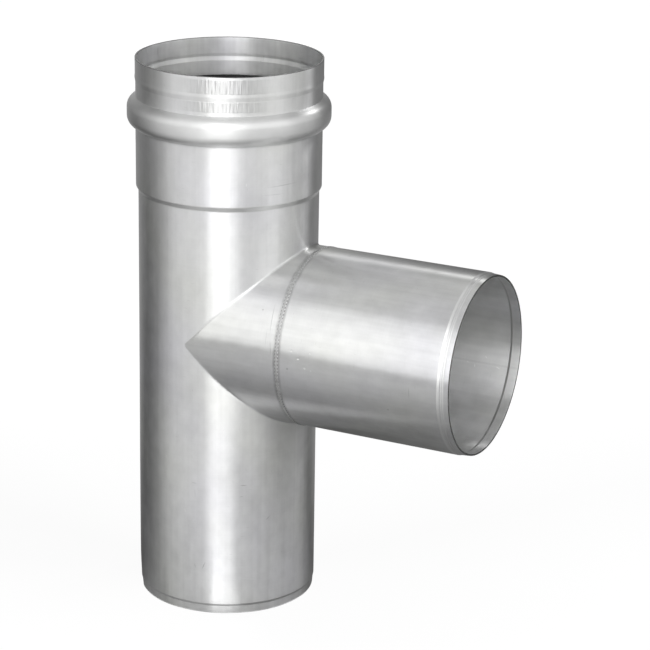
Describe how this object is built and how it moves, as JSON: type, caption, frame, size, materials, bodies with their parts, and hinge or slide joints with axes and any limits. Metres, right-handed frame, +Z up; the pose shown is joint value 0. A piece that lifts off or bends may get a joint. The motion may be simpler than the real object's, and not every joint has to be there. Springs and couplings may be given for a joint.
{
  "type": "stove pipe tee",
  "caption": "Single-wall stainless stove pipe tee: straight run with a sealed socket on top and a spigot foot, and a side branch of the same diameter.",
  "frame": {"origin": "on the floor under the middle of the bounding box; the axis of the run stands 40.7 mm from it towards -X", "axes": "+Z up along the run, from the spigot foot to the socket; +X along the branch, towards its mouth; the fitting is symmetric about the plane y = 0"},
  "size_m": [0.1714, 0.09, 0.2472],
  "materials": {
    "stainless_sheet": "satin mill finish with fine handling scratches",
    "weld_metal": "dull brushed weld bead",
    "black_silicone": "matt moulded silicone"
  },
  "bodies": {
    "root": {"run_tube": "stainless_sheet", "branch_tube": "stainless_sheet", "branch_weld": "weld_metal", "socket_seal": "black_silicone"}
  },
  "joints": []
}
